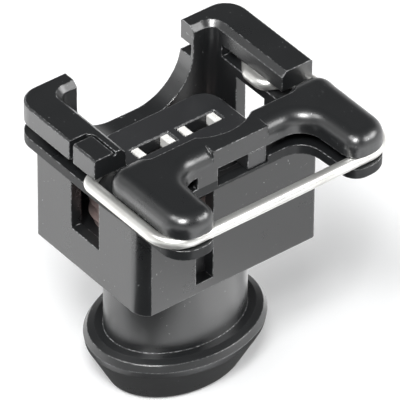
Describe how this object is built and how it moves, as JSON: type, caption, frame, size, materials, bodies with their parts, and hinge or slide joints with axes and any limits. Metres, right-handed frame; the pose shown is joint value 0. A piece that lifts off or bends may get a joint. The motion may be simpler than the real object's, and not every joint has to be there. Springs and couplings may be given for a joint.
{
  "type": "connector plug",
  "caption": "Rectangular two-way cable plug with a sealed mating mouth, twin collar plates, a pressed wire latch in the groove between them, and an oval neck with a boot barb.",
  "frame": {"origin": "centre of the rear cable end of the neck, on the neck's axis; the plug stands on this end", "axes": "+Z from the cable end to the mating mouth, +X along the wire latch's front bar, +Y from the front bar toward the back wall with the rounded cut-out"},
  "size_m": [0.025, 0.0228, 0.03],
  "materials": {
    "housing_plastic": "black glass-filled plastic, satin",
    "carrier_plastic": "black plastic, satin",
    "spring_wire": "bright round spring wire",
    "seal_rubber": "soft silicone, matt",
    "contact_metal": "tin-plated copper alloy",
    "sleeve_steel": "thin stainless sheet"
  },
  "bodies": {
    "plug": {"housing": "housing_plastic", "contact_carrier": "carrier_plastic", "mouth_seal": "seal_rubber", "contact_left": "contact_metal", "contact_right": "contact_metal", "over_spring_left": "sleeve_steel", "over_spring_right": "sleeve_steel"},
    "latch": {"wire_spring": "spring_wire"}
  },
  "joints": [
    {"name": "latch_press", "type": "slide", "parent": "plug", "child": "latch", "axis": [0, 1, 0], "range_m": [0, 0.0012], "stiffness_N_per_m": 2500, "springref_m": -0.0002}
  ]
}
